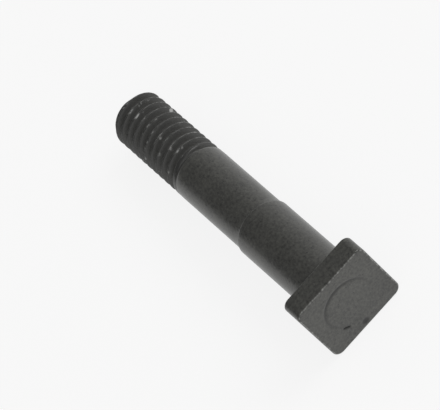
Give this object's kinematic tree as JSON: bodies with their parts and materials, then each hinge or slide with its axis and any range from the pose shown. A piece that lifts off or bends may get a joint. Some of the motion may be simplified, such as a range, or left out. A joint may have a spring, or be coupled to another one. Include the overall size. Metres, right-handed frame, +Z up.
{
  "type": "square-headed threaded stud",
  "caption": "Square-headed steel stud with a thicker shoulder, a plain shank and a right-hand metric thread, which clamps a part with a nut.",
  "frame": {"origin": "centre of the stud's box, on the surface that it lies on", "axes": "+Z up from that surface, +X along the stud towards its head, which is 2.76 degrees off the stud's own axis because it rests on its head and its tip"},
  "size_m": [0.036, 0.009, 0.0092],
  "materials": {
    "black_oxide": "satin black oxide"
  },
  "bodies": {
    "root": {"stud": "black_oxide"}
  },
  "joints": []
}
